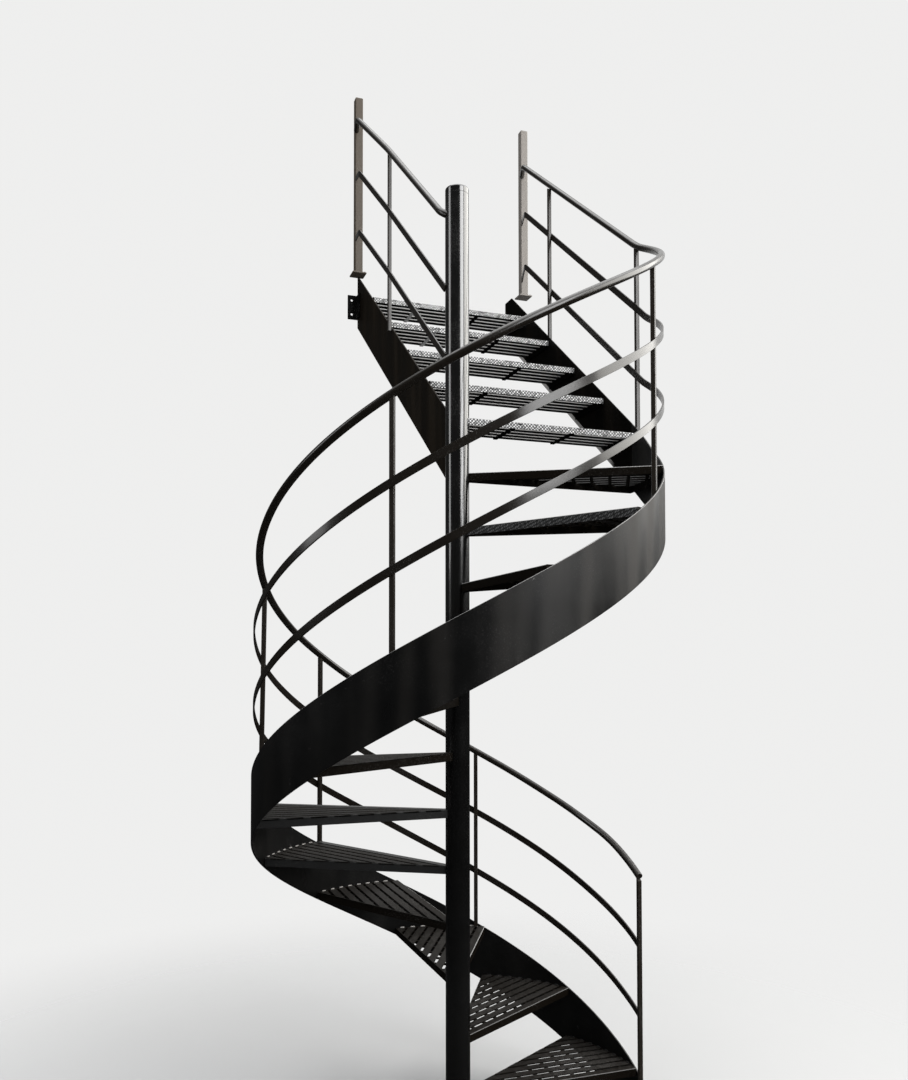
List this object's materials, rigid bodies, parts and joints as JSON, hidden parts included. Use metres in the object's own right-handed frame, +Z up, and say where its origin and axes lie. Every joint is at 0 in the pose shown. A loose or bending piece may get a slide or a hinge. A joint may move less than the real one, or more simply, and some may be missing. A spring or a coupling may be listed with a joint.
{
  "type": "spiral staircase",
  "caption": "Outdoor steel spiral staircase: grating winder treads round a tube column inside a helical plate, then a straight flight to a balcony, with flat rails and a tube handrail",
  "frame": {"origin": "centre of the underside of the column's base plate, on the ground", "axes": "+Z up along the column, +X towards the first nosing, +Y along the straight flight to the balcony"},
  "size_m": [1.608, 1.9845, 4.575],
  "materials": {
    "black_steel": "gloss",
    "tread_steel": "satin",
    "post_steel": "satin"
  },
  "bodies": {
    "root": {"column": "black_steel", "column_cap": "black_steel", "base_plate": "black_steel", "outer_stringer": "black_steel", "outer_flight_stringer": "black_steel", "inner_flight_stringer": "black_steel", "stringer_foot": "black_steel", "tread_01": "tread_steel", "tread_02": "tread_steel", "tread_03": "tread_steel", "tread_04": "tread_steel", "tread_05": "tread_steel", "tread_06": "tread_steel", "tread_07": "tread_steel", "tread_08": "tread_steel", "tread_09": "tread_steel", "tread_10": "tread_steel", "tread_11": "tread_steel", "tread_12": "tread_steel", "step_13": "tread_steel", "step_14": "tread_steel", "step_15": "tread_steel", "step_16": "tread_steel", "step_17": "tread_steel", "handrail": "black_steel", "upper_rail": "black_steel", "lower_rail": "black_steel", "inner_handrail": "black_steel", "inner_upper_rail": "black_steel", "inner_lower_rail": "black_steel", "end_post": "black_steel", "spiral_uprights": "black_steel", "outer_flight_upright": "black_steel", "inner_flight_upright": "black_steel", "outer_top_post": "post_steel", "inner_top_post": "post_steel", "outer_wall_angle": "black_steel", "inner_wall_angle": "black_steel"}
  },
  "joints": []
}
